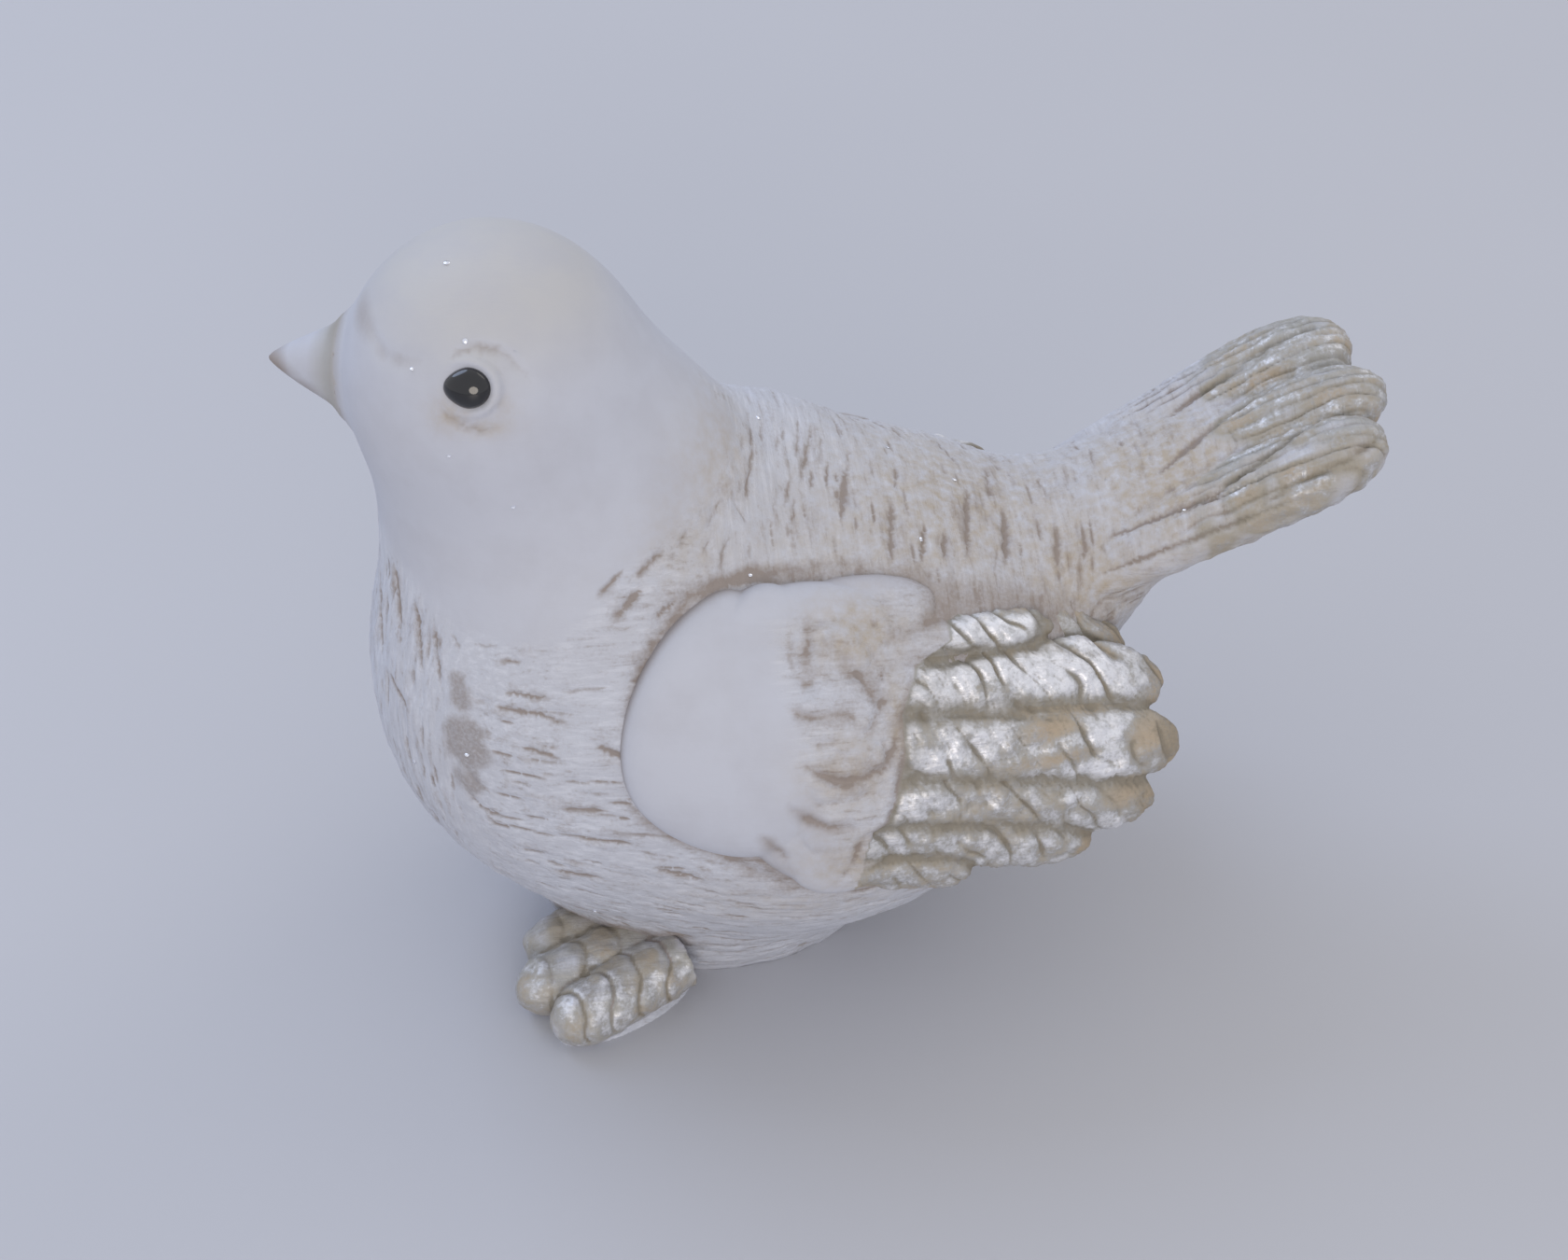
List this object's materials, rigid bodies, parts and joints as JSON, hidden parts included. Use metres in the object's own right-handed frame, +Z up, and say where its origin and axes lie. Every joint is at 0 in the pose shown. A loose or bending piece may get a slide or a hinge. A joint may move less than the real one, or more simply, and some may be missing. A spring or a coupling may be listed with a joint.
{
  "type": "bird figurine",
  "caption": "Cast songbird figurine with a raised tail, folded feathered wings and ringed toes, standing on a flat underside as a shelf ornament.",
  "frame": {"origin": "on the ground, under the middle of the box around the bird", "axes": "-X towards the beak and +X towards the tail, -Y the bird's left side, +Z up"},
  "size_m": [0.1254, 0.0672, 0.0932],
  "materials": {
    "painted_resin": "matte whitewash over cast resin, brown wash in the carving, soft silver on the feather ends and toes, gloss black eyes"
  },
  "bodies": {
    "root": {"bird": "painted_resin"}
  },
  "joints": []
}
